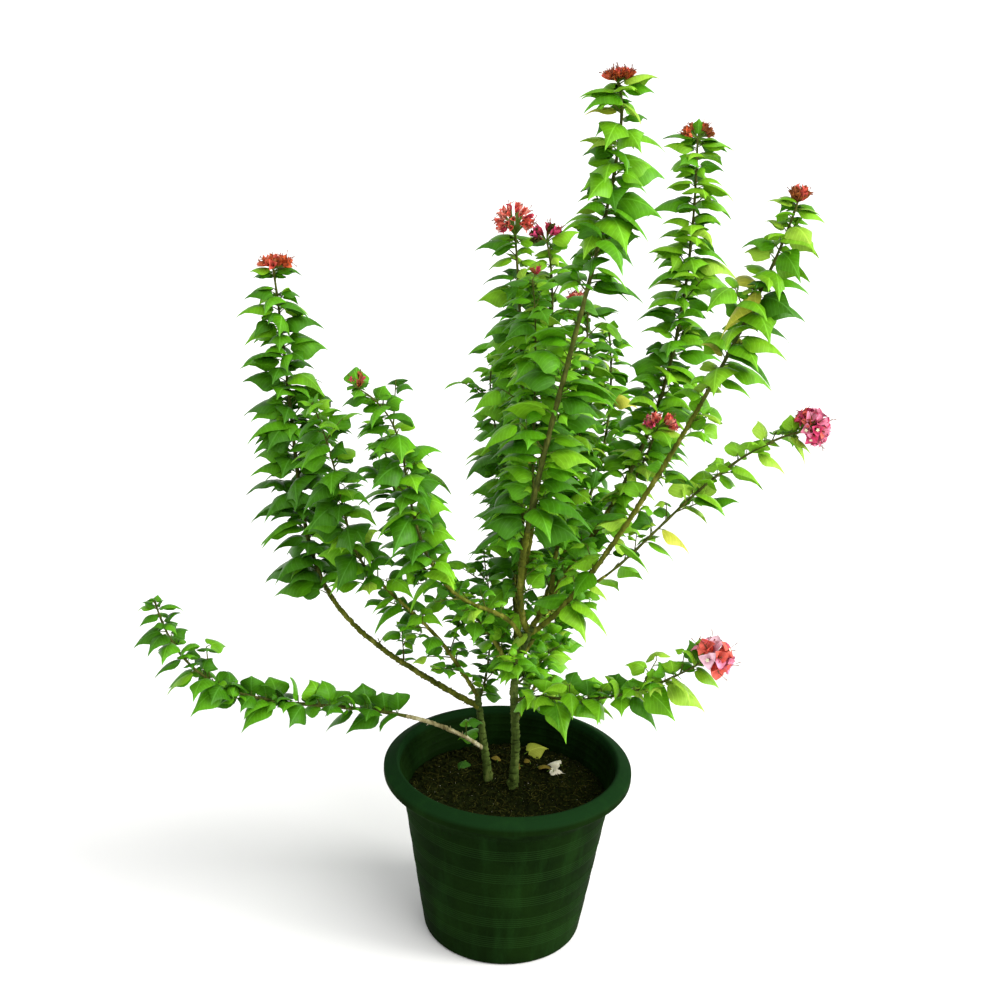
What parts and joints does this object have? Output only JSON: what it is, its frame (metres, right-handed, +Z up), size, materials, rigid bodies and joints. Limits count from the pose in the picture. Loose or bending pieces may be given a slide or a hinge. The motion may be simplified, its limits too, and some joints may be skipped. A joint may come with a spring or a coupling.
{
  "type": "potted flowering shrub",
  "caption": "Bushy bougainvillea in a round ribbed nursery pot: bare woody stems fork into leafy upright shoots tipped with papery flower heads.",
  "frame": {"origin": "centre of the pot's flat underside, where it stands on the ground", "axes": "+Z up, +X to the right and +Y to the back of the plant as it is seen from its front"},
  "size_m": [0.7952, 0.5712, 1.0398],
  "materials": {
    "pot_plastic": "dark green moulded plastic, satin, lightly scuffed",
    "potting_mix": "dark damp potting mix, matte, with bark fibres",
    "bark": "light olive-brown bark, matte, finely furrowed",
    "foliage": "mid-green leaves, satin, with coral and magenta bracts at the tips"
  },
  "bodies": {
    "root": {"bough_arch_back": "bark", "bough_arch_front": "bark", "bough_back_left": "bark", "bough_back_low": "bark", "bough_back_middle": "bark", "bough_back_right": "bark", "bough_centre": "bark", "bough_centre_back": "bark", "bough_centre_left": "bark", "bough_centre_thin": "bark", "bough_leader": "bark", "bough_left_inner": "bark", "bough_left_low": "bark", "bough_left_tall": "bark", "bough_right_back": "bark", "bough_right_long": "bark", "bough_right_tall": "bark", "foliage_arch_back_top": "foliage", "foliage_arch_front_top": "foliage", "foliage_back_left": "foliage", "foliage_back_low": "foliage", "foliage_back_middle": "foliage", "foliage_back_right": "foliage", "foliage_centre": "foliage", "foliage_centre_back": "foliage", "foliage_centre_left": "foliage", "foliage_centre_small": "foliage", "foliage_centre_thin": "foliage", "foliage_leader": "foliage", "foliage_left_inner_sprig": "foliage", "foliage_left_inner_spur": "foliage", "foliage_left_inner_top": "foliage", "foliage_left_low": "foliage", "foliage_left_sprig": "foliage", "foliage_left_tall": "foliage", "foliage_left_tall_sprig": "foliage", "foliage_middle_twig": "foliage", "foliage_right_back": "foliage", "foliage_right_inner": "foliage", "foliage_right_long": "foliage", "foliage_right_low": "foliage", "foliage_right_sprig": "foliage", "foliage_right_tall": "foliage", "foliage_stem_sprig": "foliage", "pot": "pot_plastic", "soil": "potting_mix", "stem_left": "bark", "stem_right": "bark"}
  },
  "joints": []
}
